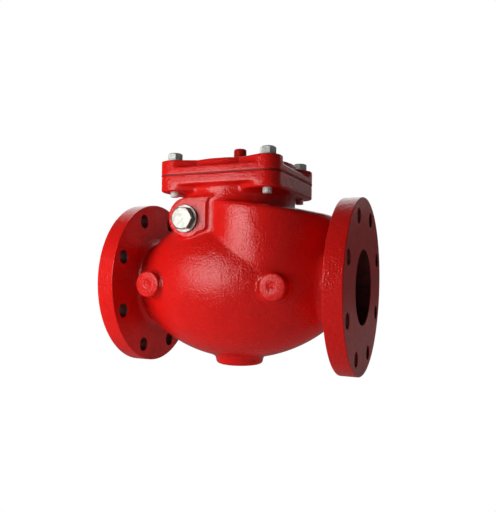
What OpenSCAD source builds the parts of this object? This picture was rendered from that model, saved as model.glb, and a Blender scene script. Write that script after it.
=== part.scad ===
// Flanged swing check valve, four inch size.
// Origin: centre of the inlet flange's face. +X is the way of the flow, +Z is up.

/* [Ends] */
// Length between the two flange faces
face_to_face = 330; // [326:1:360]
// Outside diameter of the end flanges
flange_od = 228.6; // [222:0.2:240]
// Thickness of the end flanges
flange_t = 24; // [18:0.5:26]
// Diameter of the waterway
port_d = 97; // [90:1:100]
// Distance from the flange's rim to the middle of a bolt hole
bolt_edge = 19.05; // [16:0.05:21]
// Number of bolt holes in a flange
flange_bolts = 8; // [4:4:8]
// Diameter of a flange bolt hole
flange_hole_d = 19; // [16:0.5:22]

/* [Body casting] */
// Widest outside diameter of the globe
globe_d = 204; // [198:1:212]
// Distance of the widest section from the inlet face
globe_x = 157; // [152:1:162]
// Radius of the globe's lengthwise curve
globe_curve_r = 196; // [185:1:215]
// Thickness of the cast wall
wall = 9; // [7:0.5:10]
// Outside diameter of the hubs behind the flanges
hub_d = 112; // [110:1:118]
// Radius of the fillet between hub and flange
hub_fillet = 8; // [4:0.5:10]
// Outside diameter of the upright chamber that the disc swings into
chamber_d = 182; // [178:1:184]
// Distance of the chamber's axis from the inlet face
chamber_x = 202; // [198:1:206]
// Height of the chamber's roof above the waterway's axis
roof_z = 104.5; // [102:0.5:108]
// Fall of the roof towards the outlet, in degrees
roof_slope = 7.7; // [5:0.1:9]
// Rounding of the roof's edge
roof_round = 12; // [8:0.5:14]
// Diameter of the blind tapping bosses on the sides
side_boss_d = 34; // [28:1:38]
// Distance from the inlet face to the middle between the two side bosses of one side
side_boss_x = 152.5; // [150:0.5:155]
// Distance between the two side bosses of one side
side_boss_pitch = 175; // [165:1:180]
// How far inside the globe's widest point the side bosses end
side_boss_inset = 7; // [5:0.5:9]
// Distance from the inlet face to the axis of the blind drain boss underneath
drain_boss_x = 159; // [154:1:164]
// Diameter of the blind drain boss
drain_boss_d = 66; // [56:1:74]
// Distance that the drain boss stands out below the globe
drain_boss_h = 8; // [6:0.5:12]

/* [Bonnet joint] */
// Side of the square bonnet flange and cover
cover_w = 167.6; // [164:0.2:172]
// Distance of the cover's middle from the inlet face
cover_x = 155.6; // [154:0.2:158]
// Distance of a cover bolt from the two nearest sides of the cover
bolt_inset = 18; // [17:0.5:20]
// Height of the bonnet flange's face above the waterway's axis
bonnet_z = 142.8; // [141:0.2:148]
// Thickness of the bonnet flange at its corner pads
bonnet_flange_t = 20.6; // [19:0.2:23]
// Thickness of the bonnet flange's front and rear edges between the pads
bonnet_edge_t = 13; // [10:0.5:14]
// Length of a corner pad along the edges of the flange and the cover
pad_l = 24; // [22:0.5:27]
// Angle at which a pad's inner side slants away from the flange's edge
pad_slant = 23; // [18:1:30]
// Outside diameter of the round neck, and of the cover's raised middle
neck_d = 154; // [150:0.5:158]
// Radius of the cove between neck and bonnet flange
neck_cove = 4; // [3:0.5:5]
// Width of the opening in the neck
mouth_w = 84; // [80:1:86]
// Thickness of the cover gasket
gasket_t = 1.2; // [1:0.1:3]
// Thickness of the cover's rim between the pads
cover_edge_t = 9.2; // [7:0.2:11]
// Thickness of the cover at its corner pads
cover_corner_t = 18.8; // [17:0.2:24]
// Height of the low dome on the cover
cover_dome_h = 9; // [5:0.5:12]
// Diameter of the low dome on the cover
cover_dome_d = 120; // [100:1:126]
// Diameter of the boss in the middle of the cover
cover_boss_d = 18; // [14:0.5:24]
// Height of the boss above the cover's corners
cover_boss_h = 25.2; // [16:0.2:28]
// Diameter of the cover bolts
cover_bolt_d = 12.7; // [12:0.1:14.5]
// Length that a cover bolt stands out below the bonnet flange
bolt_stub = 6; // [3:0.5:10]

/* [Hinge] */
// Distance of the hinge pin's axis from the inlet face
pin_x = 114; // [112:0.5:115]
// Height of the hinge pin's axis above the waterway's axis
pin_z = 86; // [84:0.5:88]
// Diameter of the hinge pin
pin_d = 14; // [12:0.5:14.5]
// Thickness of the bushes on the hinge pin
bush_t = 2.5; // [1.5:0.5:3]
// How far the hinge lugs stand out beyond the side of the neck
lug_stand = 3; // [2:0.5:7]
// Radius of the round end of a hinge lug
lug_r = 26; // [24:0.5:27.5]
// Height of that round end's centre above the pin's axis
lug_lift = 2; // [0:0.5:3]
// Length of a hinge lug towards the outlet, from the pin's axis
lug_l = 29; // [26:1:34]
// Distance of the inner hinge bosses from the middle plane
inner_boss_y = 35; // [34:0.5:37]
// Thickness of the thrust washers beside the arm
thrust_t = 2.4; // [1.5:0.1:3]
// Length of one eye of the arm
eye_l = 20; // [14:1:22]
// Width across the flats of a hinge plug
plug_af = 27; // [24:1:30]
// Height of a hinge plug's head
plug_head_h = 9; // [7:0.5:14]
// Diameter of a hinge plug's thread
plug_thread_d = 24; // [22:0.5:26]
// Length of a hinge plug's thread
plug_thread_l = 16; // [12:0.5:17]
// Diameter of the washer under a hinge plug
plug_washer_d = 35; // [33:1:40]
// Thickness of the washer under a hinge plug
plug_washer_t = 2.5; // [1.5:0.5:4]
// Thickness of the seal under that washer
plug_seal_t = 1.5; // [1:0.5:2.5]

/* [Seat and disc] */
// Lean of the seat from upright, in degrees
seat_tilt = 6; // [4:0.5:8]
// Distance from the seat's plane to the hinge pin's axis
hinge_offset = 16; // [15:0.5:17]
// Thickness of the wall inside the body that carries the seat ring
bridge_t = 15; // [12:0.5:16]
// Radial width of the seat ring
seat_w = 9.5; // [8.5:0.5:11]
// Height that the seat ring stands out of the wall
seat_lip_h = 3; // [2:0.5:4]
// Length of the seat ring inside the wall
seat_depth = 10; // [8:0.5:11]
// Radial width of the disc's rim round its facing
disc_rim = 3; // [2.5:0.5:4]
// Thickness of the disc's plate behind its facing
disc_plate_t = 7.4; // [6:0.2:9]
// How far the disc's facing laps past the seat ring
facing_lap = 1; // [0.5:0.5:2]
// Thickness of the disc's facing
facing_t = 6.5; // [5:0.5:8]
// Gap between the waterway's wall and the plate that holds the facing
retainer_gap = 6.5; // [5:0.5:9]
// Thickness of the plate that holds the facing
retainer_t = 4; // [3:0.5:5]
// Diameter of the disc's stud
stud_d = 14; // [12:0.5:15]
// Outside diameter of the hub on the back of the disc
disc_hub_d = 40; // [34:1:44]
// Height of the hub on the back of the disc
disc_hub_h = 8; // [6:0.5:9]
// Outside diameter of the arm's boss round the stud
arm_boss_d = 34; // [28:1:36]
// Length of the arm's boss along the stud
arm_boss_l = 16; // [12:0.5:17]
// Width across the flats of the disc nut
disc_nut_af = 21; // [19:1:23]
// Height of the disc nut
disc_nut_h = 12; // [9:0.5:13]
// Swing of the arm from closed to its stop, in degrees
swing = 75; // [70:1:78]

/* [Fits] */
// Radial clearance of a turning fit
run_gap = 0.06; // [0.03:0.01:0.09]
// Clearance of a fixed fit
fix_gap = 0.05; // [0.02:0.01:0.1]
// Clearance along an axis, beside a turning piece
side_gap = 0.3; // [0.2:0.05:0.5]
// Clearance between the facing and the seat
seat_gap = 0.1; // [0.05:0.05:0.3]
// Clearance at the arm's open stop
stop_gap = 0.4; // [0.2:0.1:0.8]

/* [Hidden] */
$fn = 96;
eps = 0.5;
far = 400;
paint = [0.72, 0.07, 0.06];
zinc = [0.78, 0.79, 0.77];
steel = [0.62, 0.63, 0.64];
iron = [0.2, 0.2, 0.21];
bronze = [0.71, 0.52, 0.27];
rubber = [0.09, 0.09, 0.1];

// Radii and places of the castings
port_r = port_d / 2;
outlet_hole_d = flange_hole_d + 0.4;
bolt_circle = flange_od - 2 * bolt_edge;
hub_r = hub_d / 2;
globe_r = globe_d / 2;
arc_drop = globe_curve_r - globe_r;
chamber_r = chamber_d / 2;
front = -1;
rear = 1;
gasket_z = bonnet_z + gasket_t;
corner_z = gasket_z + cover_corner_t;
cover_corner_r = bolt_inset;
bolt_reach = cover_w / 2 - bolt_inset;
bolt_hole_gap = 1;
side_boss_face = globe_r - side_boss_inset;
dimple_d = 9;
lug_y = neck_d / 2 + lug_stand;
lug_flare = 9;
lug_root_l = 13;
lug_root_step = 3;
drain_boss_round = 5;

// The seat, the facing and the disc grow with the waterway
seat_od = port_d + 2 * seat_w;
facing_d = seat_od + 2 * facing_lap;
disc_d = facing_d + 2 * disc_rim;
retainer_d = port_d - 2 * retainer_gap;

// The seat's own frame and the hinge's place in it
seat_h = (pin_z - hinge_offset * sin(seat_tilt)) / cos(seat_tilt);
seat_x = pin_x - hinge_offset * cos(seat_tilt) + seat_h * sin(seat_tilt);

// Hinge pieces, measured from the middle plane
pin_r = pin_d / 2;
bush_r = pin_r + bush_t;
eye_r = bush_r + 5;
eye_y1 = inner_boss_y - thrust_t - 2 * side_gap;
eye_y0 = eye_y1 - eye_l;
inner_boss_r = bush_r + 6.5;
plug_tip_y = lug_y - plug_thread_l;
pin_end_y = plug_tip_y - side_gap;
body_bush_y1 = pin_end_y - side_gap;
eye_step = 1;
arm_rib_w = 8;
horn_r = 5;
horn_centre = eye_r + 0.2;
horn_lift = 15;
horn_reach = horn_centre * cos(horn_lift) + horn_r;
mouth_x0 = pin_x - horn_reach - stop_gap;
mouth_l = 2 * (cover_x - mouth_x0);
mouth_corner = 12;
plug_base_y = lug_y + plug_seal_t + plug_washer_t;

// Disc pieces, measured along the seat's axis from the seat's plane
facing_z0 = seat_gap;
facing_z1 = facing_z0 + facing_t;
rim_z0 = facing_z0 + 2;
plate_z1 = facing_z1 + disc_plate_t;
hub_z1 = plate_z1 + disc_hub_h;
boss_z0 = hub_z1 + side_gap;
boss_z1 = boss_z0 + arm_boss_l;
nut_washer_t = 3;
nut_washer_z0 = boss_z1 + side_gap;
nut_z0 = nut_washer_z0 + nut_washer_t;
split_pin_d = 3;
split_pin_z = nut_z0 + disc_nut_h + split_pin_d / 2 + 0.5;
stud_end = split_pin_z + split_pin_d + 1;
stud_r = stud_d / 2;
screw_d = 6;
screw_head_h = 4;
screw_head_d = 11;
screw_circle = retainer_d * 0.66;
screw_count = 4;

// Small pieces of the bonnet joint
bolt_r = cover_bolt_d / 2;
bolt_af = cover_bolt_d * 1.5;
bolt_head_h = cover_bolt_d * 0.72;
cover_washer_t = 2;
cover_washer_d = cover_bolt_d * 1.8;
dome_r = (pow(cover_dome_d / 2, 2) + pow(cover_dome_h, 2)) / 2 / cover_dome_h;
cover_boss_round = 2;

// A flat ring or disc lying on Z
module ring(outer_r, inner_r, height) {
    difference() {
        cylinder(r = outer_r, h = height);
        if (inner_r > 0)
            translate([0, 0, -eps]) cylinder(r = inner_r, h = height + 2 * eps);
    }
}

// A round boss standing on Z, the edge of its top rounded
module round_boss(radius, height, round_r) {
    rotate_extrude() {
        square([radius - round_r, height]);
        square([radius, height - round_r]);
        translate([radius - round_r, height - round_r]) circle(r = round_r);
    }
}

// Lays what stands on Z along X instead
module along_x() {
    rotate([0, 90, 0]) children();
}

// Puts what stands on Z on the outside of the front or rear, with its Z pointing outward
module outward(side) {
    rotate([side == front ? 90 : -90, 0, 0]) children();
}

// Places children on the hinge pin's axis, at a distance from the middle plane
module on_hinge(side, y) {
    translate([pin_x, side * y, pin_z]) outward(side) children();
}

// The seat's frame: Z along the seat's axis towards the outlet, X down the seat's face
module in_seat_frame() {
    translate([seat_x, 0, 0]) rotate([0, 90 - seat_tilt, 0]) children();
}

// Rectangle with true round corners, centred
module rounded_rect(length, width, radius) {
    square([length - 2 * radius, width], center = true);
    square([length, width - 2 * radius], center = true);
    for (sx = [-1, 1], sy = [-1, 1])
        translate([sx * (length / 2 - radius), sy * (width / 2 - radius)]) circle(r = radius);
}

// A hexagon bolt head standing on Z, its top edge chamfered
module hex_head(flats, height) {
    intersection() {
        cylinder(r = flats / sqrt(3), h = height, $fn = 6);
        rotate_extrude() polygon([[0, 0], [flats * 0.6, 0], [flats * 0.6, height - flats * 0.06],
                                  [flats * 0.47, height], [0, height]]);
    }
}

// Scoops between the corner pads, one on each side that turns names. A scoop narrows from the
// edge inwards as the pads slant, and ends inside the round neck or the cover's raised middle.
module scoops(height, turns) {
    half_edge = cover_w / 2 - pad_l;
    slope = 1 / tan(pad_slant);
    depth = cover_w / 2 - neck_d * 0.42;
    for (turn = turns) rotate([0, 0, turn]) translate([0, -cover_w / 2, 0])
        linear_extrude(height = height)
            polygon([[-half_edge - slope, -1], [half_edge + slope, -1],
                     [half_edge - slope * depth, depth], [slope * depth - half_edge, depth]]);
}

// Places children at the four cover bolts, seen from the cover's middle
module at_bolt_square() {
    for (x = [-bolt_reach, bolt_reach], y = [-bolt_reach, bolt_reach]) translate([x, y]) children();
}

module at_cover_bolts(z) {
    translate([cover_x, 0, z]) at_bolt_square() children();
}

// Outline of the opening in the neck, the gasket and the cover's underside
module mouth_outline() {
    rounded_rect(mouth_l, mouth_w, mouth_corner);
}

// Places children at the holes of a circle on Z
module on_circle(count, diameter, first) {
    for (k = [0 : count - 1]) rotate([0, 0, first + k * 360 / count])
        translate([diameter / 2, 0, 0]) children();
}

// Half section of the globe: an arc whose centre lies beyond the waterway's axis
module globe_section(inset) {
    intersection() {
        translate([-arc_drop, globe_x]) circle(r = globe_curve_r - inset, $fn = 192);
        translate([0, flange_t]) square([globe_r, face_to_face - 2 * flange_t]);
    }
}

// Half section of the pipe ends and the globe, revolved round the waterway's axis
module run_section() {
    globe_section(0);
    square([hub_r, face_to_face]);
    for (end = [0, 1]) translate([0, end * face_to_face]) mirror([0, end]) {
        square([flange_od / 2, flange_t]);
        difference() {
            translate([0, flange_t]) square([hub_r + hub_fillet, hub_fillet]);
            translate([hub_r + hub_fillet, flange_t + hub_fillet]) circle(r = hub_fillet);
        }
    }
}

// Upright chamber with a sloping roof; inset gives its inside
module chamber(inset) {
    radius = chamber_r - inset;
    round_r = max(roof_round - inset, 2);
    intersection() {
        translate([chamber_x, 0, 0]) cylinder(r = radius, h = roof_z + far);
        translate([chamber_x, 0, roof_z - inset]) rotate([0, roof_slope, 0])
            translate([0, 0, -far / 2]) rotate_extrude() {
                square([radius + 3 - round_r, far / 2]);
                square([radius + 3, far / 2 - round_r]);
                translate([radius + 3 - round_r, far / 2 - round_r]) circle(r = round_r);
            }
    }
}

// Cove between the neck and the underside of the bonnet flange
module cove_section() {
    difference() {
        translate([-2, -neck_cove]) square([neck_cove + 2, neck_cove]);
        translate([neck_cove, -neck_cove]) circle(r = neck_cove);
    }
}

module neck_cove_ring() {
    rotate_extrude() translate([neck_d / 2, 0]) cove_section();
}

// Outline of a hinge lug, seen along the pin; its top flares out towards the neck
module lug_outline() {
    top = lug_lift + lug_r;
    translate([0, lug_lift]) circle(r = lug_r);
    polygon([[0, lug_lift - lug_r], [lug_l * 0.9, -lug_r * 0.58], [lug_l, -lug_r * 0.5],
             [lug_l, top], [0, top]]);
    difference() {
        translate([lug_l - 1, top - lug_flare]) square([lug_flare + 1, lug_flare]);
        translate([lug_l + lug_flare, top - lug_flare]) circle(r = lug_flare);
    }
}

// Lower block that leads a hinge lug into the chamber's wall
module lug_root_outline() {
    polygon([[0, -lug_r * 0.7], [lug_l, -lug_r * 0.45], [lug_l + lug_root_l, lug_r * 0.1],
             [lug_l + lug_root_l, lug_r * 0.4], [lug_l + 2, lug_r * 0.9], [0, lug_r * 0.9]]);
}

// Flange that carries the cover: a square slab, scooped from below at the front and rear
module bonnet_flange() {
    translate([0, 0, bonnet_z - bonnet_flange_t]) difference() {
        union() {
            linear_extrude(height = bonnet_flange_t) rounded_rect(cover_w, cover_w, cover_corner_r);
            neck_cove_ring();
        }
        translate([0, 0, -neck_cove - eps])
            scoops(neck_cove + bonnet_flange_t - bonnet_edge_t + eps, [0, 180]);
    }
    translate([0, 0, bonnet_z - bonnet_edge_t]) neck_cove_ring();
}

// Stands an outline, seen along the pin, out of the body's side as far as y
module hinge_lug(side, y) {
    translate([pin_x, side * y, pin_z]) rotate([90, 0, 0])
        mirror([0, 0, side == front ? 1 : 0])
            linear_extrude(height = y - inner_boss_y - 4) children();
}

// Outside of the body casting, without its holes
module body_outside() {
    along_x() rotate_extrude() run_section();
    chamber(0);
    translate([cover_x, 0, 0]) {
        cylinder(r = neck_d / 2, h = bonnet_z - eps);
        bonnet_flange();
    }
    for (side = [front, rear]) {
        hinge_lug(side, lug_y) lug_outline();
        hinge_lug(side, lug_y - lug_root_step) lug_root_outline();
        for (end = [-1, 1]) translate([side_boss_x + end * side_boss_pitch / 2, 0, 0])
            outward(side) cylinder(r = side_boss_d / 2, h = side_boss_face);
    }
    translate([drain_boss_x, 0, 0]) mirror([0, 0, 1])
        round_boss(drain_boss_d / 2, globe_r + drain_boss_h, drain_boss_round);
}

// Wall inside the body that carries the seat ring
module bridge() {
    in_seat_frame() translate([0, 0, -seat_lip_h - bridge_t]) cylinder(r = globe_r, h = bridge_t);
}

// Everything hollow: the waterway, the chamber and the neck, less the bridge wall
module body_inside() {
    difference() {
        union() {
            along_x() rotate_extrude() {
                globe_section(wall);
                translate([0, -eps]) square([port_r, face_to_face + 2 * eps]);
            }
            chamber(wall);
            translate([cover_x, 0, port_r / 2])
                linear_extrude(height = bonnet_z) mouth_outline();
        }
        bridge();
        for (side = [front, rear]) on_hinge(side, inner_boss_y)
            cylinder(r = inner_boss_r, h = mouth_w / 2);
    }
}

// The outlet's holes are a little wider, so that a gauge tells the two flanges' drillings apart
module flange_holes(x, diameter) {
    translate([x - eps, 0, 0]) along_x() on_circle(flange_bolts, bolt_circle, 180 / flange_bolts)
        cylinder(r = diameter / 2, h = flange_t + 2 * eps);
}

module body() {
    color(paint) difference() {
        body_outside();
        body_inside();
        in_seat_frame() {
            translate([0, 0, -seat_lip_h - seat_depth - fix_gap])
                cylinder(r = seat_od / 2 + fix_gap, h = seat_depth + seat_lip_h + eps);
            translate([0, 0, -seat_lip_h - bridge_t - eps])
                cylinder(r = port_r, h = bridge_t + eps);
        }
        flange_holes(0, flange_hole_d);
        flange_holes(face_to_face - flange_t, outlet_hole_d);
        at_cover_bolts(bonnet_z - bonnet_flange_t - 2 * neck_cove)
            cylinder(r = bolt_r + fix_gap, h = bonnet_flange_t + 3 * neck_cove);
        for (side = [front, rear]) {
            on_hinge(side, inner_boss_y - eps) cylinder(r = bush_r + fix_gap, h = far / 4);
            on_hinge(side, plug_tip_y - side_gap)
                cylinder(r = plug_thread_d / 2 + fix_gap, h = far / 4);
            for (end = [-1, 1]) translate([side_boss_x + end * side_boss_pitch / 2, 0, 0])
                outward(side) translate([0, 0, side_boss_face - dimple_d / 3])
                    cylinder(r1 = dimple_d / 6, r2 = dimple_d / 2 + 0.1, h = dimple_d / 3 + 0.1);
        }
    }
}

// The cover: a low rim, four corner pads and a raised middle with a dome and a boss
module cover() {
    color(paint) difference() {
        union() {
            translate([cover_x, 0, gasket_z]) linear_extrude(height = cover_corner_t)
                rounded_rect(cover_w, cover_w, cover_corner_r);
            translate([cover_x, 0, corner_z]) {
                rotate_extrude() intersection() {
                    translate([0, cover_dome_h - dome_r]) circle(r = dome_r, $fn = 192);
                    translate([0, -eps]) square([cover_dome_d, cover_dome_h + 2 * eps]);
                }
                round_boss(cover_boss_d / 2, cover_boss_h, cover_boss_round);
            }
        }
        translate([cover_x, 0, gasket_z + cover_edge_t]) difference() {
            scoops(cover_corner_t + cover_dome_h, [0, 90, 180, 270]);
            translate([0, 0, -eps]) cylinder(r = neck_d / 2, h = far);
        }
        at_cover_bolts(gasket_z - eps) cylinder(r = bolt_r + bolt_hole_gap, h = far / 4);
        translate([cover_x, 0, gasket_z - eps])
            linear_extrude(height = cover_corner_t - wall + eps) mouth_outline();
    }
}

module cover_gasket() {
    color(rubber) translate([cover_x, 0, bonnet_z]) linear_extrude(height = gasket_t) difference() {
        rounded_rect(cover_w - 2, cover_w - 2, cover_corner_r - 1);
        mouth_outline();
        at_bolt_square() circle(r = bolt_r + bolt_hole_gap);
    }
}

module cover_bolts() {
    shank = corner_z + cover_washer_t - (bonnet_z - bonnet_flange_t - bolt_stub);
    color(zinc) at_cover_bolts(corner_z + cover_washer_t) {
        rotate([0, 0, 30]) hex_head(bolt_af, bolt_head_h);
        translate([0, 0, -shank]) cylinder(r = bolt_r, h = shank + eps);
    }
}

module cover_washers() {
    color(zinc) at_cover_bolts(corner_z)
        ring(cover_washer_d / 2, bolt_r + fix_gap, cover_washer_t);
}

module hinge_pin() {
    color(steel) on_hinge(front, -pin_end_y) cylinder(r = pin_r, h = 2 * pin_end_y);
}

module pin_bush(side) {
    color(bronze) on_hinge(side, inner_boss_y)
        ring(bush_r, pin_r + fix_gap, body_bush_y1 - inner_boss_y);
}

module thrust_washer(side) {
    color(bronze) on_hinge(side, inner_boss_y - side_gap - thrust_t)
        ring(bush_r + 3, pin_r + fix_gap, thrust_t);
}

module hinge_plug(side) {
    color(zinc) {
        on_hinge(side, plug_base_y) hex_head(plug_af, plug_head_h);
        on_hinge(side, plug_tip_y)
            cylinder(r = plug_thread_d / 2, h = plug_base_y - plug_tip_y + eps);
    }
}

module plug_washer(side) {
    color(zinc) on_hinge(side, lug_y + plug_seal_t)
        ring(plug_washer_d / 2, plug_thread_d / 2 + fix_gap, plug_washer_t);
}

module plug_seal(side) {
    color(rubber) on_hinge(side, lug_y)
        ring(plug_washer_d / 2 - 1, plug_thread_d / 2 + fix_gap, plug_seal_t);
}

// The seat ring has a narrow raised lip, and a groove for its seal
module seat_ring() {
    seat_r = seat_od / 2;
    lip_r = seat_r - 3;
    groove_z = -seat_lip_h - seat_depth / 2;
    color(bronze) in_seat_frame() rotate_extrude() difference() {
        polygon([[port_r, -seat_lip_h - seat_depth], [seat_r, -seat_lip_h - seat_depth],
                 [seat_r, -seat_lip_h], [lip_r, -0.5], [lip_r - 0.5, 0], [port_r, 0]]);
        translate([seat_r - 3, groove_z - 1.7]) square([4, 3.4]);
    }
}

module seat_o_ring() {
    color(rubber) in_seat_frame() translate([0, 0, -seat_lip_h - seat_depth / 2])
        rotate_extrude() translate([seat_od / 2 - 1.5, 0]) circle(r = 1.45);
}

// Side view of the arm, in the seat's frame: X is down, Y is towards the outlet
module arm_side_view() {
    eye_x = -seat_h;
    foot_x = arm_boss_d * 0.38;
    polygon([[foot_x, boss_z0 + 2], [eye_x * 0.28, boss_z0 + 2], [eye_x * 0.59, plate_z1 + 4.5],
             [eye_x * 0.78, plate_z1 + 3], [eye_x + 9, hinge_offset - 9], [eye_x, hinge_offset],
             [eye_x, hinge_offset + 11], [eye_x + 13, hinge_offset + 13],
             [eye_x * 0.59, plate_z1 + 17], [eye_x * 0.165, boss_z1 - 2],
             [foot_x, boss_z1 - 2]]);
}

// Back view of the arm: two eyes on a fork that narrows to the boss
module arm_back_view() {
    eye_x = -seat_h;
    fork_x = eye_x + eye_r + 4;
    half_fork = eye_y1 - eye_step;
    half_slot = eye_y0 + eye_step;
    half_foot = arm_boss_d * 0.32;
    half_waist = arm_boss_d * 0.37;
    slot_l = 2 * eye_r - 3;
    difference() {
        polygon([[half_foot, -half_foot], [eye_x * 0.33, -half_waist], [fork_x + 6, -half_fork],
                 [eye_x - eye_r, -half_fork], [eye_x - eye_r, half_fork],
                 [fork_x + 6, half_fork], [eye_x * 0.33, half_waist], [half_foot, half_foot]]);
        translate([eye_x - eye_r - 1, -half_slot]) square([slot_l + 1, 2 * half_slot]);
        translate([eye_x - eye_r + slot_l, 0]) circle(r = half_slot);
    }
}

// Middle rib on the back of the arm
module arm_rib() {
    rotate([90, 0, 0]) linear_extrude(height = arm_rib_w, center = true)
        polygon([[-seat_h * 0.14, boss_z1 - 4], [-seat_h * 0.18, boss_z1],
                 [-seat_h * 0.35, boss_z1 - 0.5], [-seat_h * 0.71, plate_z1 + 19],
                 [-seat_h * 0.71, plate_z1 + 12], [-seat_h * 0.35, boss_z1 - 8]]);
}

module clapper_arm() {
    color(iron) difference() {
        union() {
            in_seat_frame() intersection() {
                rotate([90, 0, 0]) linear_extrude(height = 3 * eye_y1, center = true)
                    arm_side_view();
                translate([0, 0, -eps]) linear_extrude(height = stud_end) arm_back_view();
            }
            in_seat_frame() translate([0, 0, boss_z0]) cylinder(r = arm_boss_d / 2, h = arm_boss_l);
            in_seat_frame() arm_rib();
            for (side = [front, rear]) {
                on_hinge(side, eye_y0) cylinder(r = eye_r, h = eye_l);
                arm_horn(side);
            }
        }
        on_hinge(front, -2 * eye_y1) cylinder(r = bush_r + fix_gap, h = 4 * eye_y1);
        in_seat_frame() translate([0, 0, -eps]) cylinder(r = stud_r + run_gap, h = stud_end);
    }
}

// Stop horn on each eye: it meets the neck's wall when the arm is fully open
module arm_horn(side) {
    rest_angle = 180 - horn_lift - swing;
    translate([pin_x, side * (eye_y0 + eye_l / 2), pin_z]) rotate([0, -rest_angle, 0])
        rotate([90, 0, 0]) linear_extrude(height = eye_l - 6, center = true) {
            translate([0, -horn_r]) square([horn_centre, 2 * horn_r]);
            translate([horn_centre, 0]) circle(r = horn_r);
        }
}

module arm_bush(side) {
    color(bronze) on_hinge(side, eye_y0) ring(bush_r, pin_r + run_gap, eye_l);
}

// The disc: a dished plate with a rim round the facing, ribs, a hub and a stud
module disc() {
    rim_r = disc_d / 2;
    color(steel) in_seat_frame() difference() {
        union() {
            rotate_extrude() polygon([[0, facing_z1], [facing_d / 2 + 0.3, facing_z1],
                [facing_d / 2 + 0.3, rim_z0], [rim_r - 0.5, rim_z0], [rim_r, rim_z0 + 0.5],
                [rim_r, plate_z1 - 3], [rim_r - 3, plate_z1], [disc_hub_d / 2 + 5, plate_z1],
                [disc_hub_d / 2, plate_z1 + 4], [disc_hub_d / 2, hub_z1], [stud_r, hub_z1],
                [stud_r, stud_end - 1], [stud_r - 1, stud_end], [0, stud_end]]);
            for (k = [0 : 5]) rotate([0, 0, 60 * k]) translate([0, -2.5, 0]) rotate([90, 0, 0])
                mirror([0, 0, 1]) linear_extrude(height = 5)
                    polygon([[disc_hub_d / 2 - 2, plate_z1 - 1], [rim_r - 8, plate_z1 - 1],
                             [rim_r - 10, plate_z1 + 0.8], [disc_hub_d / 2 + 1, hub_z1 - 3],
                             [disc_hub_d / 2 - 2, hub_z1 - 3]]);
        }
        on_circle(screw_count, screw_circle, 45) translate([0, 0, facing_z1 - eps])
            cylinder(r = screw_d / 2 + fix_gap, h = 5 + eps);
        translate([0, 0, split_pin_z]) rotate([90, 0, 0])
            cylinder(r = split_pin_d / 2 + fix_gap, h = far, center = true);
    }
}

module disc_facing() {
    color(rubber) in_seat_frame() difference() {
        translate([0, 0, facing_z0]) cylinder(r = facing_d / 2, h = facing_t);
        on_circle(screw_count, screw_circle, 45) translate([0, 0, -eps])
            cylinder(r = screw_d / 2 + fix_gap, h = facing_t + 2);
    }
}

module facing_retainer() {
    retainer_r = retainer_d / 2;
    color(steel) in_seat_frame() difference() {
        translate([0, 0, facing_z0 - retainer_t]) rotate_extrude()
            polygon([[0, 0], [retainer_r - 1.5, 0], [retainer_r, 1.5], [retainer_r, retainer_t],
                     [0, retainer_t]]);
        on_circle(screw_count, screw_circle, 45) translate([0, 0, -retainer_t - 1])
            cylinder(r = screw_d / 2 + fix_gap, h = retainer_t + 2);
    }
}

module retainer_screws() {
    color(zinc) in_seat_frame() on_circle(screw_count, screw_circle, 45)
        translate([0, 0, facing_z0 - retainer_t]) {
            mirror([0, 0, 1]) hex_head(screw_head_d, screw_head_h);
            translate([0, 0, -eps]) cylinder(r = screw_d / 2, h = retainer_t + facing_t + 4.5);
        }
}

module disc_washer() {
    color(steel) in_seat_frame() translate([0, 0, nut_washer_z0])
        ring(stud_r * 2, stud_r + fix_gap, nut_washer_t);
}

// Castle nut: three slots let the split pin through
module disc_nut() {
    castle_h = disc_nut_h * 0.33;
    color(zinc) in_seat_frame() translate([0, 0, nut_z0]) difference() {
        hex_head(disc_nut_af, disc_nut_h + castle_h + 0.5);
        translate([0, 0, -eps]) cylinder(r = stud_r + fix_gap, h = 2 * disc_nut_h);
        for (a = [90, 210, 330]) rotate([0, 0, a])
            translate([-disc_nut_af, -split_pin_d / 2 - 0.3, disc_nut_h])
                cube([2 * disc_nut_af, split_pin_d + 0.6, disc_nut_h]);
    }
}

module nut_split_pin() {
    color(steel) in_seat_frame() translate([0, 0, split_pin_z]) rotate([90, 0, 0])
        cylinder(r = split_pin_d / 2, h = disc_nut_af + 4, center = true);
}

body();
cover();
cover_gasket();
cover_bolts();
cover_washers();
hinge_pin();
pin_bush(front);  // front_pin_bush
pin_bush(rear);  // rear_pin_bush
thrust_washer(front);  // front_thrust_washer
thrust_washer(rear);  // rear_thrust_washer
hinge_plug(front);  // front_hinge_plug
hinge_plug(rear);  // rear_hinge_plug
plug_washer(front);  // front_plug_washer
plug_washer(rear);  // rear_plug_washer
plug_seal(front);  // front_plug_seal
plug_seal(rear);  // rear_plug_seal
seat_ring();
seat_o_ring();
clapper_arm();
arm_bush(front);  // front_arm_bush
arm_bush(rear);  // rear_arm_bush
disc();
disc_facing();
facing_retainer();
retainer_screws();
disc_washer();
disc_nut();
nut_split_pin();
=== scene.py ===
"""Looks of a flanged swing check valve: red cast body and bolted cover, hinge and disc inside."""
import math

import bmesh
import bpy
import numpy as np
from mathutils import Matrix, Vector


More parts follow.
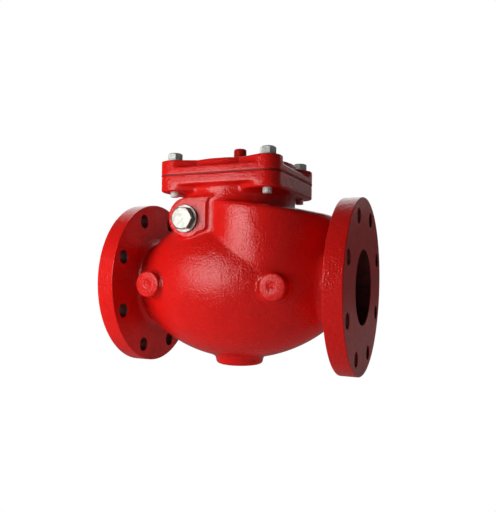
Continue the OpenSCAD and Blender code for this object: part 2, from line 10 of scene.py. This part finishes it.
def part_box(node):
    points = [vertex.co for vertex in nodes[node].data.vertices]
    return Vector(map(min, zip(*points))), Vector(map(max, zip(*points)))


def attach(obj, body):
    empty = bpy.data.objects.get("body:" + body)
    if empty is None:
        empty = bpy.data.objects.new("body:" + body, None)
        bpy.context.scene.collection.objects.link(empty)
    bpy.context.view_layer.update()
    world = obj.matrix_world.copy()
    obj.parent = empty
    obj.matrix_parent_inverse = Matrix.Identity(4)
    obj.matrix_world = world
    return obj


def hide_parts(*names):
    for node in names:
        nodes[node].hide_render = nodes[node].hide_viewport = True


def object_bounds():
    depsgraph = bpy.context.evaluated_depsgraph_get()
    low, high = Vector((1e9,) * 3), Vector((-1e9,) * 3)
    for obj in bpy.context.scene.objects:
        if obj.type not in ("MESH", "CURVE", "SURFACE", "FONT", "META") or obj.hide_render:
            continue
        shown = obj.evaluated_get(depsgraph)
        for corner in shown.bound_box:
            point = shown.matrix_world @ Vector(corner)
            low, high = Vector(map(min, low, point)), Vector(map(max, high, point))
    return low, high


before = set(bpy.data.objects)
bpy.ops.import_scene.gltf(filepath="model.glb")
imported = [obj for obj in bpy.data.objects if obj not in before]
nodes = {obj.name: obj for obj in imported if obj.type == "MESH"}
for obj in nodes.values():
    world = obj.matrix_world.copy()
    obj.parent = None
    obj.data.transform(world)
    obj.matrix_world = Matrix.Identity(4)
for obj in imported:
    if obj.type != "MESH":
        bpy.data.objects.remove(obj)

cad_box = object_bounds()

# The camera stands to the right of the valve and just above the waterway's axis, looking a little
# to the left and slightly down. The photograph's frame is 496 by 512, and a small shift frames it.
photo_width, photo_height = 496, 512
camera_place = Vector((0.479022, -0.749183, 0.018093))
camera_yaw, camera_pitch, camera_roll = 0.428, math.radians(-2.0), 0.013
focal_pixels = 582.382
centre_pixel = (226.385, 291.869)
sensor_mm = 36

level_right = Vector((math.cos(camera_yaw), math.sin(camera_yaw), 0))
forward = Vector((-math.sin(camera_yaw) * math.cos(camera_pitch),
                  math.cos(camera_yaw) * math.cos(camera_pitch), math.sin(camera_pitch)))
level_up = level_right.cross(forward)
camera_right = level_right * math.cos(camera_roll) + level_up * math.sin(camera_roll)
camera_up = level_up * math.cos(camera_roll) - level_right * math.sin(camera_roll)

lens = bpy.data.cameras.new("photo_lens")
lens.sensor_width = sensor_mm
lens.lens = focal_pixels * sensor_mm / photo_height
lens.shift_x = (photo_width / 2 - centre_pixel[0]) / photo_height
lens.shift_y = (centre_pixel[1] - photo_height / 2) / photo_height
lens.clip_start = 0.02
camera = bpy.data.objects.new("photo_camera", lens)
camera.matrix_world = Matrix.Translation(camera_place) @ Matrix(
    (camera_right, camera_up, -forward)).transposed().to_4x4()
bpy.context.scene.collection.objects.link(camera)
bpy.context.scene.camera = camera

# Body casting: one grey iron casting with its two flanges, globe, swing chamber and neck, poured in
# sand and sprayed all over with a thick glossy red enamel. Its faces and bolt holes are machined.


def copy_of_node(name, node):
    """A closed copy of a CAD node's mesh as a new piece: its loose triangles are joined up."""
    mesh = nodes[node].data.copy()
    mesh.name = name
    joined = bmesh.new()
    joined.from_mesh(mesh)
    bmesh.ops.remove_doubles(joined, verts=joined.verts, dist=2e-6)
    joined.to_mesh(mesh)
    joined.free()
    mesh.materials.clear()
    piece = bpy.data.objects.new(name, mesh)
    bpy.context.scene.collection.objects.link(piece)
    return piece


def keep_between(piece, from_x, to_x):
    """Cuts a closed piece down to what lies between two stations along the pipe, and closes the cuts."""
    block_mesh = bpy.data.meshes.new("block")
    block = bmesh.new()
    bmesh.ops.create_cube(block, size=1.0)
    block.to_mesh(block_mesh)
    block.free()
    cutter = bpy.data.objects.new("block", block_mesh)
    block_mesh.transform(Matrix.Translation(((from_x + to_x) / 2, 0, 0.05)) @
                         Matrix.Diagonal((to_x - from_x, 0.6, 0.6, 1)))
    bpy.context.scene.collection.objects.link(cutter)
    common = piece.modifiers.new("between", "BOOLEAN")
    common.operation = "INTERSECT"
    common.solver = "EXACT"
    common.object = cutter
    graph = bpy.context.evaluated_depsgraph_get()
    kept = bpy.data.meshes.new_from_object(piece.evaluated_get(graph))
    piece.modifiers.clear()
    piece.data = kept
    bpy.data.objects.remove(cutter)
    bpy.data.meshes.remove(block_mesh)


def cast_skin(piece, grid, passes, fill, round_off, machined):
    """A casting's skin. The CAD solid's surface is laid again as an even net of quads, and the net is
    then run soft: in each pass a point goes from p to p + s (m - p), where m is the mean of its
    neighbours. The share s is fill where m lies outside the skin, so a crease becomes a fillet, and
    round_off where it lies inside, so an edge becomes round. machined(points) gives the part of s
    that is used, below 1 on a machined place."""
    net = piece.modifiers.new("net", "REMESH")
    net.mode = "VOXEL"
    net.voxel_size = grid
    graph = bpy.context.evaluated_depsgraph_get()
    skin = bpy.data.meshes.new_from_object(piece.evaluated_get(graph))
    piece.modifiers.clear()
    piece.data = skin
    count = len(skin.vertices)
    place = np.empty(count * 3)
    skin.vertices.foreach_get("co", place)
    place = place.reshape(-1, 3)
    ends = np.empty(len(skin.edges) * 2, np.int32)
    skin.edges.foreach_get("vertices", ends)
    ends = ends.reshape(-1, 2)
    start = np.concatenate([ends[:, 0], ends[:, 1]])
    end = np.concatenate([ends[:, 1], ends[:, 0]])
    neighbours = np.bincount(start, minlength=count)[:, None]
    used = machined(place)[:, None]
    outward = np.empty(count * 3, np.float32)
    for _ in range(passes):
        skin.vertices.foreach_set("co", place.ravel())
        skin.update()
        skin.vertex_normals.foreach_get("vector", outward)
        sums = [np.bincount(start, place[end, axis], count) for axis in range(3)]
        step = np.stack(sums, axis=1) / neighbours - place
        hollow = (step * outward.reshape(-1, 3)).sum(axis=1, keepdims=True) > 0
        place = place + step * used * np.where(hollow, fill, round_off)
    skin.vertices.foreach_set("co", place.ravel())
    skin.update()
    skin.shade_smooth()


def break_edges(piece, ease, angle=28):
    """A machined piece's edges: flat faces are joined up, and the edges broken by a small round."""
    flat = bmesh.new()
    flat.from_mesh(piece.data)
    bmesh.ops.dissolve_limit(flat, angle_limit=math.radians(0.5), verts=flat.verts, edges=flat.edges)
    flat.to_mesh(piece.data)
    flat.free()
    piece.data.shade_smooth()
    edge = piece.modifiers.new("broken edges", "BEVEL")
    edge.width = ease
    edge.segments = 3
    edge.angle_limit = math.radians(angle)
    edge.harden_normals = False
    even = piece.modifiers.new("even shading", "WEIGHTED_NORMAL")
    even.keep_sharp = False


def new_material(name):
    """A material with only its shader, and the shader."""
    material = bpy.data.materials.new(name)
    material.use_nodes = True
    return material, material.node_tree.nodes["Principled BSDF"]


def add_node(material, kind, **settings):
    """A shader node with some of its settings made."""
    node = material.node_tree.nodes.new(kind)
    for key, value in settings.items():
        setattr(node, key, value)
    return node


def noise(material, scale, detail):
    """Solid noise in the piece's own coordinates; scale is the number of lumps in a metre."""
    where = add_node(material, "ShaderNodeTexCoord")
    lumps = add_node(material, "ShaderNodeTexNoise")
    lumps.inputs["Scale"].default_value = scale
    lumps.inputs["Detail"].default_value = detail
    material.node_tree.links.new(where.outputs["Object"], lumps.inputs["Vector"])
    return lumps.outputs["Fac"]


def spread(material, value, low, high, start=0.35, stop=0.65):
    """Carries a value's range from start to stop over to the range from low to high."""
    change = add_node(material, "ShaderNodeMapRange")
    for key, number in (("From Min", start), ("From Max", stop), ("To Min", low), ("To Max", high)):
        change.inputs[key].default_value = number
    material.node_tree.links.new(value, change.inputs["Value"])
    return change.outputs["Result"]


def two_colours(material, value, first, second, start=0.35, stop=0.65):
    """Fades from the first colour to the second as a value goes from start to stop."""
    ramp = add_node(material, "ShaderNodeValToRGB")
    ramp.color_ramp.elements[0].position = start
    ramp.color_ramp.elements[0].color = (*first, 1)
    ramp.color_ramp.elements[1].position = stop
    ramp.color_ramp.elements[1].color = (*second, 1)
    material.node_tree.links.new(value, ramp.inputs["Fac"])
    return ramp.outputs["Color"]


def relief(material, layers):
    """Adds bumps to the shader, one layer on the next. A layer is (value, height in metres)."""
    links = material.node_tree.links
    normal = None
    for value, height in layers:
        bump = add_node(material, "ShaderNodeBump")
        bump.inputs["Strength"].default_value = 1.0
        bump.inputs["Distance"].default_value = height
        links.new(value, bump.inputs["Height"])
        if normal:
            links.new(normal, bump.inputs["Normal"])
        normal = bump.outputs["Normal"]
    links.new(normal, material.node_tree.nodes["Principled BSDF"].inputs["Normal"])


def finish(name, tints, gloss, grain, bare=0.0):
    """A material of one substance. tints is (lumps in a metre, detail, darker colour, lighter colour),
    gloss is (lumps, detail, lowest roughness, highest roughness), grain is (lumps, detail, height in
    metres), and bare is the share of bare metal."""
    material, shader = new_material(name)
    links = material.node_tree.links
    lumps, detail, dark, light = tints
    links.new(two_colours(material, noise(material, lumps, detail), dark, light),
              shader.inputs["Base Color"])
    lumps, detail, low, high = gloss
    links.new(spread(material, noise(material, lumps, detail), low, high), shader.inputs["Roughness"])
    shader.inputs["Metallic"].default_value = bare
    lumps, detail, height = grain
    relief(material, [(noise(material, lumps, detail), height)])
    return material


def height_share(material, low, high):
    """Goes from 0 at the first height above the waterway's axis to 1 at the second, in metres."""
    where = add_node(material, "ShaderNodeTexCoord")
    apart = add_node(material, "ShaderNodeSeparateXYZ")
    material.node_tree.links.new(where.outputs["Object"], apart.inputs[0])
    return spread(material, apart.outputs["Z"], 0.0, 1.0, low, high)


def product(material, first, second):
    """One value times another."""
    times = add_node(material, "ShaderNodeMath", operation="MULTIPLY")
    for socket, value in zip(times.inputs, (first, second)):
        material.node_tree.links.new(value, socket)
    return times.outputs[0]


def red_enamel(name):
    """Thick glossy enamel: two near reds over sand grain of about 2.5 mm. The globe's sand was the
    coarser, so the grain fades towards the faces at the top."""
    material, shader = new_material(name)
    links = material.node_tree.links
    red = two_colours(material, noise(material, 22, 3), (0.64, 0.0075, 0.0055), (0.70, 0.0095, 0.007))
    links.new(red, shader.inputs["Base Color"])
    links.new(spread(material, noise(material, 90, 3), 0.08, 0.13), shader.inputs["Roughness"])
    shader.inputs["IOR"].default_value = 1.5
    fine_from, coarse_below = 0.085, 0.035
    coarse = height_share(material, fine_from, coarse_below)
    share = spread(material, coarse, 0.75, 1.0, 0.0, 1.0)
    relief(material, [(product(material, noise(material, lumps, detail), share), height)
                      for lumps, detail, height in ((60, 1, 0.0009), (420, 1, 0.0007), (900, 2, 0.0003))])
    return material


body_low, body_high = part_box("body")
middle_x = (body_low.x + body_high.x) / 2
flange_thickness = 0.024
joint_face, joint_edge = body_high.z, 0.003
lug_face, lug_edge = abs(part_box("front_plug_seal")[1].y), 0.0035
lug_middle_z, lug_half_height, lug_end_x = 0.085, 0.034, 0.15


def body_machined(points):
    """The joint face for the cover and the faces of the hinge lugs stay nearly sharp, and the rest is
    as cast."""
    on_joint = points[:, 2] > joint_face - joint_edge
    on_lug = ((np.abs(points[:, 1]) > lug_face - lug_edge) & (points[:, 0] < lug_end_x) &
              (np.abs(points[:, 2] - lug_middle_z) < lug_half_height))
    return np.where(on_joint | on_lug, 0.25, 1.0)


past_end, lap, proud = 0.01, 0.002, 0.0002
flange_edge_round = 0.0011
body_skin = copy_of_node("body_casting", "body")
keep_between(body_skin, body_low.x + flange_thickness - lap, body_high.x - flange_thickness + lap)
cast_skin(body_skin, grid=0.0019, passes=15, fill=0.5, round_off=0.10, machined=body_machined)
inlet_flange = copy_of_node("inlet_flange_plate", "body")
keep_between(inlet_flange, body_low.x - past_end, body_low.x + flange_thickness + proud)
break_edges(inlet_flange, flange_edge_round)
outlet_flange = copy_of_node("outlet_flange_plate", "body")
keep_between(outlet_flange, body_high.x - flange_thickness - proud, body_high.x + past_end)
break_edges(outlet_flange, flange_edge_round)

casting_red = red_enamel("casting_red")
# The walls of the bore and bolt holes get a near-black red. This is painted shade: the deep shade inside
# them is laid into their colour, which is not the enamel's own colour.
bore_shade_paint = finish("bore_shade_paint", (90, 4, (0.055, 0.012, 0.010), (0.13, 0.014, 0.011)),
                      (200, 3, 0.3, 0.45), (700, 2, 0.0001))
bored_depth, bore_reach, bolt_hole_reach = 0.075, 0.0505, 0.111
for body_piece in (body_skin, inlet_flange, outlet_flange):
    body_piece.data.materials.clear()
    body_piece.data.materials.append(casting_red)
    body_piece.data.materials.append(bore_shade_paint)
    faces = len(body_piece.data.polygons)
    facing, centre = np.empty(faces * 3, np.float32), np.empty(faces * 3, np.float32)
    body_piece.data.polygons.foreach_get("normal", facing)
    body_piece.data.polygons.foreach_get("center", centre)
    facing, centre = facing.reshape(-1, 3), centre.reshape(-1, 3)
    from_axis = np.hypot(centre[:, 1], centre[:, 2])
    from_middle = np.abs(centre[:, 0] - middle_x)
    in_bore = (from_middle > middle_x - bored_depth) & (from_axis < bore_reach)
    in_bolt_hole = (from_middle > middle_x - flange_thickness) & (from_axis < bolt_hole_reach)
    # Faces that take the painted shade: the walls of the bore and of the bolt holes.
    bored = (np.abs(facing[:, 0]) < 0.5) & (in_bore | in_bolt_hole)
    body_piece.data.polygons.foreach_set("material_index", bored.astype(np.int32))
    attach(body_piece, "casing")
    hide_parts("body")

# Side bosses: four blind bosses for tappings, two on each side of the globe, cast in one with the
# body. Each has a shallow hollow with a punch mark in the middle of its face.


def closed_lathe(name, rings, ends, material):
    """Closed turned pieces. rings holds, for each of them, rows of points round its axis, and ends the
    two points on the axis that close its first and last row. A quad joins each point to the next in
    its row and to the same ones in the row below."""
    rows, columns = rings.shape[1:3]
    ahead = np.roll(np.arange(columns), -1)
    grid = np.arange(rows * columns).reshape(rows, columns)
    quads = np.stack([grid[:-1], grid[1:], grid[1:][:, ahead], grid[:-1][:, ahead]], axis=-1)
    top = np.stack([np.full(columns, rows * columns), grid[0], grid[0][ahead]], axis=-1)
    foot = np.stack([np.full(columns, rows * columns + 1), grid[-1][ahead], grid[-1]], axis=-1)
    points, faces = [], []
    for n, (ring, pair) in enumerate(zip(rings, ends)):
        start = n * (rows * columns + 2)
        points += ring.reshape(-1, 3).tolist() + pair.tolist()
        faces += (quads.reshape(-1, 4) + start).tolist() + (top + start).tolist()
        faces += (foot + start).tolist()
    mesh = bpy.data.meshes.new(name)
    mesh.from_pydata(points, [], faces)
    mesh.materials.append(material)
    piece = bpy.data.objects.new(name, mesh)
    bpy.context.scene.collection.objects.link(piece)
    return piece


boss_face, boss_middle_x, boss_apart = 0.095, 0.1525, 0.0875
punch_depth, boss_depth, boss_clear = 0.0016, 0.013, 0.0185
skin_below = 0.004
# Punch mark, hollow, flat face, round edge and side, each as a radius and a depth in millimetres.
boss_profile = np.array([[0.8, 1.3], [1.6, 0.85], [2.5, 0.75], [4.6, 0.7], [5.6, 0.35], [6.4, 0.06],
                         [7.6, 0], [14.3, 0], [15.5, 0.15], [16.3, 0.55], [16.85, 1.2], [17.05, 2.2],
                         [17.1, 13]]) / 1000
turn = np.linspace(0, 2 * math.pi, 64, endpoint=False)
boss_rings, boss_ends = [], []
for side in (-1, 1):
    across, up = (np.cos(turn), np.sin(turn)) if side < 0 else (np.sin(turn), np.cos(turn))
    for end in (-1, 1):
        x = boss_middle_x + end * boss_apart
        radius, depth = boss_profile[:, :1], boss_profile[:, 1:] + 0 * turn
        boss_rings.append(np.stack([x + radius * across, side * (boss_face - depth), radius * up], axis=-1))
        boss_ends.append([[x, side * (boss_face - punch_depth), 0], [x, side * (boss_face - boss_depth), 0]])
side_bosses = closed_lathe("blind_side_bosses", np.array(boss_rings), np.array(boss_ends), casting_red)
side_bosses.data.shade_smooth()
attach(side_bosses, "casing")
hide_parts("body")

# The body's skin is sunk below the faces of the bosses, so that their hollows stay open, and then
# thinned to half its triangles.
skin_place = np.empty(len(body_skin.data.vertices) * 3)
body_skin.data.vertices.foreach_get("co", skin_place)
skin_place = skin_place.reshape(-1, 3)
from_boss = np.hypot(np.abs(skin_place[:, 0] - boss_middle_x) - boss_apart, skin_place[:, 2])
covered = (from_boss < boss_clear) & (np.abs(skin_place[:, 1]) > boss_face - skin_below)
skin_place[covered, 1] = np.sign(skin_place[covered, 1]) * (boss_face - skin_below)
body_skin.data.vertices.foreach_set("co", skin_place.ravel())
body_skin.data.update()
thinned = body_skin.modifiers.new("thinned", "DECIMATE")
thinned.ratio = 0.5

# Cover: a second casting of the same iron and enamel, with a pad at each corner for its bolt,
# scooped edges between the pads, and a low dome with a boss for lifting in the middle.
cover_low, cover_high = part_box("cover")


def cover_machined(points):
    """The edge at the joint stays nearly sharp."""
    return np.where(points[:, 2] < cover_low.z + joint_edge, 0.35, 1.0)


cover_skin = copy_of_node("cover_casting", "cover")
cast_skin(cover_skin, grid=0.0011, passes=20, fill=0.5, round_off=0.16, machined=cover_machined)
cover_skin.data.materials.append(casting_red)
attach(cover_skin, "casing")
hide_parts("cover")

# Cover gasket: a sheet of black rubber, cut flush with the flange, so that only a line shows. The
# enamel was sprayed on after the cover was bolted down, so its edge is stained a dark red.
gasket_edge = finish("oversprayed_gasket", (160, 4, (0.10, 0.008, 0.007), (0.30, 0.010, 0.008)),
                     (300, 2, 0.4, 0.6), (900, 2, 0.0001))
gasket_low, gasket_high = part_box("cover_gasket")
gasket_middle = (gasket_low + gasket_high) / 2
gasket_recess = 0.0001
flush = (cover_high.y - cover_low.y - 2 * gasket_recess) / (gasket_high.y - gasket_low.y)
gasket_sheet = copy_of_node("gasket_sheet", "cover_gasket")
gasket_sheet.data.transform(Matrix.Translation(gasket_middle) @ Matrix.Diagonal((flush, flush, 1, 1)) @
                            Matrix.Translation(-gasket_middle))
gasket_sheet.data.materials.append(gasket_edge)
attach(gasket_sheet, "casing")
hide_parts("cover_gasket")

# Cover bolts and washers: four hexagon bolts of zinc plated steel, whose threads come out through
# the bonnet flange, each with a plain washer.


def eased(name, node, ease, material, body):
    """A machined piece: a copy of the node whose edges are broken by a small round of that size."""
    piece = copy_of_node(name, node)
    break_edges(piece, ease)
    piece.data.materials.append(material)
    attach(piece, body)
    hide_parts(node)
    return piece


def metal(name, dark, light, low, high, grain=0.00001, bare=1.0):
    """Bare or plated metal: two near tints, uneven gloss from low to high roughness and a fine grain.
    A clouded plating is less than wholly bare."""
    return finish(name, (120, 3, dark, light), (260, 4, low, high), (900, 3, grain), bare)


def hexagon_bolts(name, places, top_z, head_base_z, foot_z, flats, shank_r, pitch, threaded, material):
    """Hexagon bolts whose heads are up. A point at the angle a and the height z has the radius
    flats / 2 / (sum of cos(a - side)^p over the sides)^(1/p), a hexagon with eased corners, kept
    inside the head's chamfer cone, above the head's base, and below it the shank's radius less the
    thread's depth times a triangle wave of z / pitch + a / turn."""
    angle = np.linspace(0, 2 * math.pi, 144, endpoint=False)
    side = np.arange(6)[:, None] * math.pi / 3 + math.pi / 6
    ease = 90
    hexagon = flats / 2 * (np.maximum(np.cos(angle - side), 1e-6) ** ease).sum(axis=0) ** (-1 / ease)
    past_corners = 1.3
    # Each row is a share of half the flats and a height: the head's top, its chamfer and its foot.
    head = np.array([[0.86, top_z], [0.90, top_z - 0.0001], [0.94, top_z - 0.0006], [1.02, top_z - 0.0011],
                     [1.09, top_z - 0.0016], [1.155, top_z - 0.0021], [past_corners, top_z - 0.0028],
                     [past_corners, head_base_z + 0.0004], [1.14, head_base_z]])
    head_r = np.minimum(head[:, :1] * flats / 2, hexagon)
    start_z, run_out, thread_depth = foot_z + threaded, 0.001, 0.55 * pitch
    point_height, point_cut = 0.0006, 0.0014
    under_head = head_base_z - 0.00001
    thread_rows = 1 + round(threaded / pitch * 10)
    z = np.concatenate([[under_head, start_z + run_out],
                        np.linspace(start_z, foot_z + point_height, thread_rows), [foot_z]])
    wave = np.abs(2 * np.mod(z[:, None] / pitch + angle / (2 * math.pi), 1) - 1)
    depth = thread_depth * np.clip((start_z + 0.4 * run_out - z) / run_out, 0, 1)[:, None]
    shank = np.broadcast_to(shank_r - depth * (1 - wave), (len(z), len(angle))).copy()
    shank[-1] = shank_r - point_cut
    radius = np.concatenate([head_r, shank])
    height = np.concatenate([head[:, 1], z])[:, None] + np.zeros_like(radius)
    rings, ends = [], []
    for x, y, turned in places:
        rings.append(np.stack([x + radius * np.cos(angle + turned), y + radius * np.sin(angle + turned),
                               height], axis=-1))
        ends.append([[x, y, top_z], [x, y, foot_z]])
    piece = closed_lathe(name, np.array(rings), np.array(ends), material)
    piece.data.shade_smooth()
    piece.data.set_sharp_from_angle(angle=math.radians(40))
    return piece


zinc = metal("zinc_plate", (0.70, 0.72, 0.69), (0.84, 0.85, 0.81), 0.24, 0.38, 0.00002, 0.22)
bolt_low, bolt_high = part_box("cover_bolts")
washer_low, washer_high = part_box("cover_washers")
bolt_size, thread_pitch, thread_length = 0.0127, 0.00195, 0.012
bolt_flats = 1.5 * bolt_size
washer_radius = 0.9 * bolt_size
short_of_box = 0.00001
bolt_x = (washer_low.x + washer_radius, washer_high.x - washer_radius)
bolt_y = (washer_low.y + washer_radius, washer_high.y - washer_radius)
bolt_places = [(x, y, math.radians(degrees)) for (x, y), degrees in zip(
    [(x, y) for x in bolt_x for y in bolt_y], (1, 20, 3, -12))]
bolts = hexagon_bolts("cover_bolt_set", bolt_places, bolt_high.z - short_of_box, washer_high.z,
                      bolt_low.z + short_of_box, bolt_flats, bolt_size / 2, thread_pitch, thread_length,
                      zinc)
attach(bolts, "casing")
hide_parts("cover_bolts")
eased("cover_washer_set", "cover_washers", 0.0003, zinc, "casing")

# Hinge pin, bushes and thrust washers: a ground stainless pin through both walls of the body, in
# bronze bushes, with a bronze washer each side of the arm.


def dress(node, material):
    """Gives a CAD node that keeps its shape its material."""
    nodes[node].data.materials.clear()
    nodes[node].data.materials.append(material)


stainless = metal("turned_stainless", (0.52, 0.52, 0.53), (0.68, 0.68, 0.68), 0.16, 0.30)
bronze = metal("turned_bronze", (0.56, 0.34, 0.12), (0.70, 0.46, 0.19), 0.22, 0.36)
eased("hinge_pin_bar", "hinge_pin", 0.0004, stainless, "casing")
for side in ("front", "rear"):
    dress(side + "_pin_bush", bronze)
    dress(side + "_thrust_washer", bronze)

# Hinge plugs: hexagon plugs that close the pin's bores, each on a thick washer and a rubber seal.
# They are nickel plated, and look dark where they mirror no lamp.
bright_plug = metal("plug_nickel", (0.27, 0.262, 0.242), (0.33, 0.32, 0.295), 0.24, 0.38, 0.00001, 0.9)
rubber = finish("moulded_rubber", (70, 4, (0.012, 0.012, 0.012), (0.028, 0.027, 0.026)),
                (300, 2, 0.55, 0.75), (1500, 2, 0.00004))
for side in ("front", "rear"):
    eased(side + "_plug_hexagon", side + "_hinge_plug", 0.0004, bright_plug, "casing")
    eased(side + "_plug_plate", side + "_plug_washer", 0.0003, bright_plug, "casing")
    dress(side + "_plug_seal", rubber)

# Seat ring: a turned bronze ring let into the wall inside the body. It has a raised lip for the disc
# and a rubber seal ring behind it.
eased("seat_ring_bronze", "seat_ring", 0.0003, bronze, "casing")
dress("seat_o_ring", rubber)

# Clapper arm: a ductile iron casting with a fork on the hinge pin and a boss for the disc's stud,
# dipped in a dark grey coat that shows the sand's grain, and bushed with bronze.
coated_iron = finish("coated_iron", (60, 4, (0.075, 0.075, 0.08), (0.14, 0.14, 0.15)),
                     (200, 3, 0.3, 0.5), (500, 3, 0.0002))
arm_skin = copy_of_node("clapper_arm_casting", "clapper_arm")
cast_skin(arm_skin, grid=0.0012, passes=5, fill=0.5, round_off=0.2,
          machined=lambda points: np.ones(len(points)))
arm_skin.data.materials.append(coated_iron)
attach(arm_skin, "clapper")
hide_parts("clapper_arm")
for side in ("front", "rear"):
    dress(side + "_arm_bush", bronze)

# Disc: a ductile iron disc with a rubber facing under a stainless plate and four screws. Its stud
# goes through the arm and has a washer, a castle nut and a split pin.
eased("disc_casting", "disc", 0.0006, coated_iron, "disc_assembly")
eased("facing_rubber", "disc_facing", 0.0004, rubber, "disc_assembly")
for name, node in (("retainer_plate", "facing_retainer"), ("retainer_screw_set", "retainer_screws"),
                   ("disc_nut_washer", "disc_washer"), ("castle_nut", "disc_nut"),
                   ("split_pin", "nut_split_pin")):
    eased(name, node, 0.0003, stainless, "disc_assembly")

# Studio: a pale floor under the flanges in a white room. A near, nearly round softbox, brightest in
# its middle, makes the gleams, and a panel further left the light and shade. A narrow panel behind
# makes the sheen on the side faces, and a wide one high behind lights the back and the top.
bpy.context.scene.view_settings.view_transform = "Standard"
floor_half = 1.4
floor_z = cad_box[0].z
middle = (cad_box[0] + cad_box[1]) / 2
corner = np.array([[-1, -1, 0], [1, -1, 0], [1, 1, 0], [-1, 1, 0]], float)
floor_mesh = bpy.data.meshes.new("studio_floor")
floor_mesh.from_pydata((corner * floor_half + [middle.x, 0, floor_z]).tolist(), [], [(0, 1, 2, 3)])
floor = bpy.data.objects.new("studio_floor", floor_mesh)
bpy.context.scene.collection.objects.link(floor)


def paper_that_shows_white(name, glow_strength, mirrored_strength):
    """Pale paper with a weak glow of its own. It is plain white to the camera and dim in a mirror."""
    material, shader = new_material(name)
    links = material.node_tree.links
    pale = two_colours(material, noise(material, 3, 2), (0.86, 0.86, 0.86), (0.88, 0.88, 0.88))
    links.new(pale, shader.inputs["Base Color"])
    shader.inputs["Roughness"].default_value = 0.9
    glow = add_node(material, "ShaderNodeEmission")
    glow.inputs["Strength"].default_value = glow_strength
    lit = add_node(material, "ShaderNodeAddShader")
    links.new(shader.outputs[0], lit.inputs[0])
    links.new(glow.outputs[0], lit.inputs[1])
    ray = add_node(material, "ShaderNodeLightPath")
    surface = lit.outputs[0]
    for kind, strength in (("Is Glossy Ray", mirrored_strength), ("Is Camera Ray", 1.0)):
        shown = add_node(material, "ShaderNodeEmission")
        shown.inputs["Strength"].default_value = strength
        choice = add_node(material, "ShaderNodeMixShader")
        links.new(ray.outputs[kind], choice.inputs[0])
        links.new(surface, choice.inputs[1])
        links.new(shown.outputs[0], choice.inputs[2])
        surface = choice.outputs[0]
    links.new(surface, material.node_tree.nodes["Material Output"].inputs["Surface"])
    return material


floor_mesh.materials.append(paper_that_shows_white("pale_paper", 0.22, 0.13))


def soft_light(name, place, width, height, radiance, shape="RECTANGLE", turned=0.0):
    """An area light of even radiance that faces the valve's middle. Its power is radiance x pi x its
    area."""
    lamp = bpy.data.lights.new(name, "AREA")
    lamp.shape = shape
    lamp.size, lamp.size_y = width, height
    area = width * height * (math.pi / 4 if shape == "ELLIPSE" else 1)
    lamp.energy = radiance * math.pi * area
    light = bpy.data.objects.new(name, lamp)
    light.matrix_world = Matrix.Translation(place) @ \
        (Vector(place) - middle).to_track_quat("Z", "Y").to_matrix().to_4x4() @ \
        Matrix.Rotation(turned, 4, "Z")
    light.visible_camera = False
    bpy.context.scene.collection.objects.link(light)
    return light


softbox_place, softbox_height_share, softbox_turn = (0.065, -0.297, 0.079), 1.18, 0.29
for width, radiance in ((0.175, 4.6), (0.12, 2.6)):
    softbox = soft_light("front_softbox", softbox_place, width, width * softbox_height_share, radiance,
                         "ELLIPSE", softbox_turn)
    softbox.visible_diffuse = False
key = soft_light("left_key", place=(-0.33, -0.62, 0.07), width=0.5, height=0.6, radiance=7.0)
key.visible_glossy = False
side_panel = soft_light("side_panel", place=(0.66, 1.29, 0.47), width=0.55, height=0.40, radiance=0.36)
side_panel.visible_diffuse = False
soft_light("rear_softbox", place=(-0.40, 1.10, 0.80), width=1.5, height=1.1, radiance=1.35)

room_light, room_in_mirror, room_seen = 0.05, 0.05, 1.0
world = bpy.data.worlds.new("dim_room")
bpy.context.scene.world = world
world.use_nodes = True
links = world.node_tree.links
ray = world.node_tree.nodes.new("ShaderNodeLightPath")
background = world.node_tree.nodes["Background"]
background.inputs["Color"].default_value = (0.9, 0.95, 1.0, 1)
background.inputs["Strength"].default_value = room_light
surroundings = background.outputs[0]
for kind, strength in (("Is Glossy Ray", room_in_mirror), ("Is Camera Ray", room_seen)):
    room = world.node_tree.nodes.new("ShaderNodeBackground")
    room.inputs["Color"].default_value = (1, 1, 1, 1)
    room.inputs["Strength"].default_value = strength
    choice = world.node_tree.nodes.new("ShaderNodeMixShader")
    links.new(ray.outputs[kind], choice.inputs[0])
    links.new(surroundings, choice.inputs[1])
    links.new(room.outputs[0], choice.inputs[2])
    surroundings = choice.outputs[0]
links.new(surroundings, world.node_tree.nodes["World Output"].inputs["Surface"])
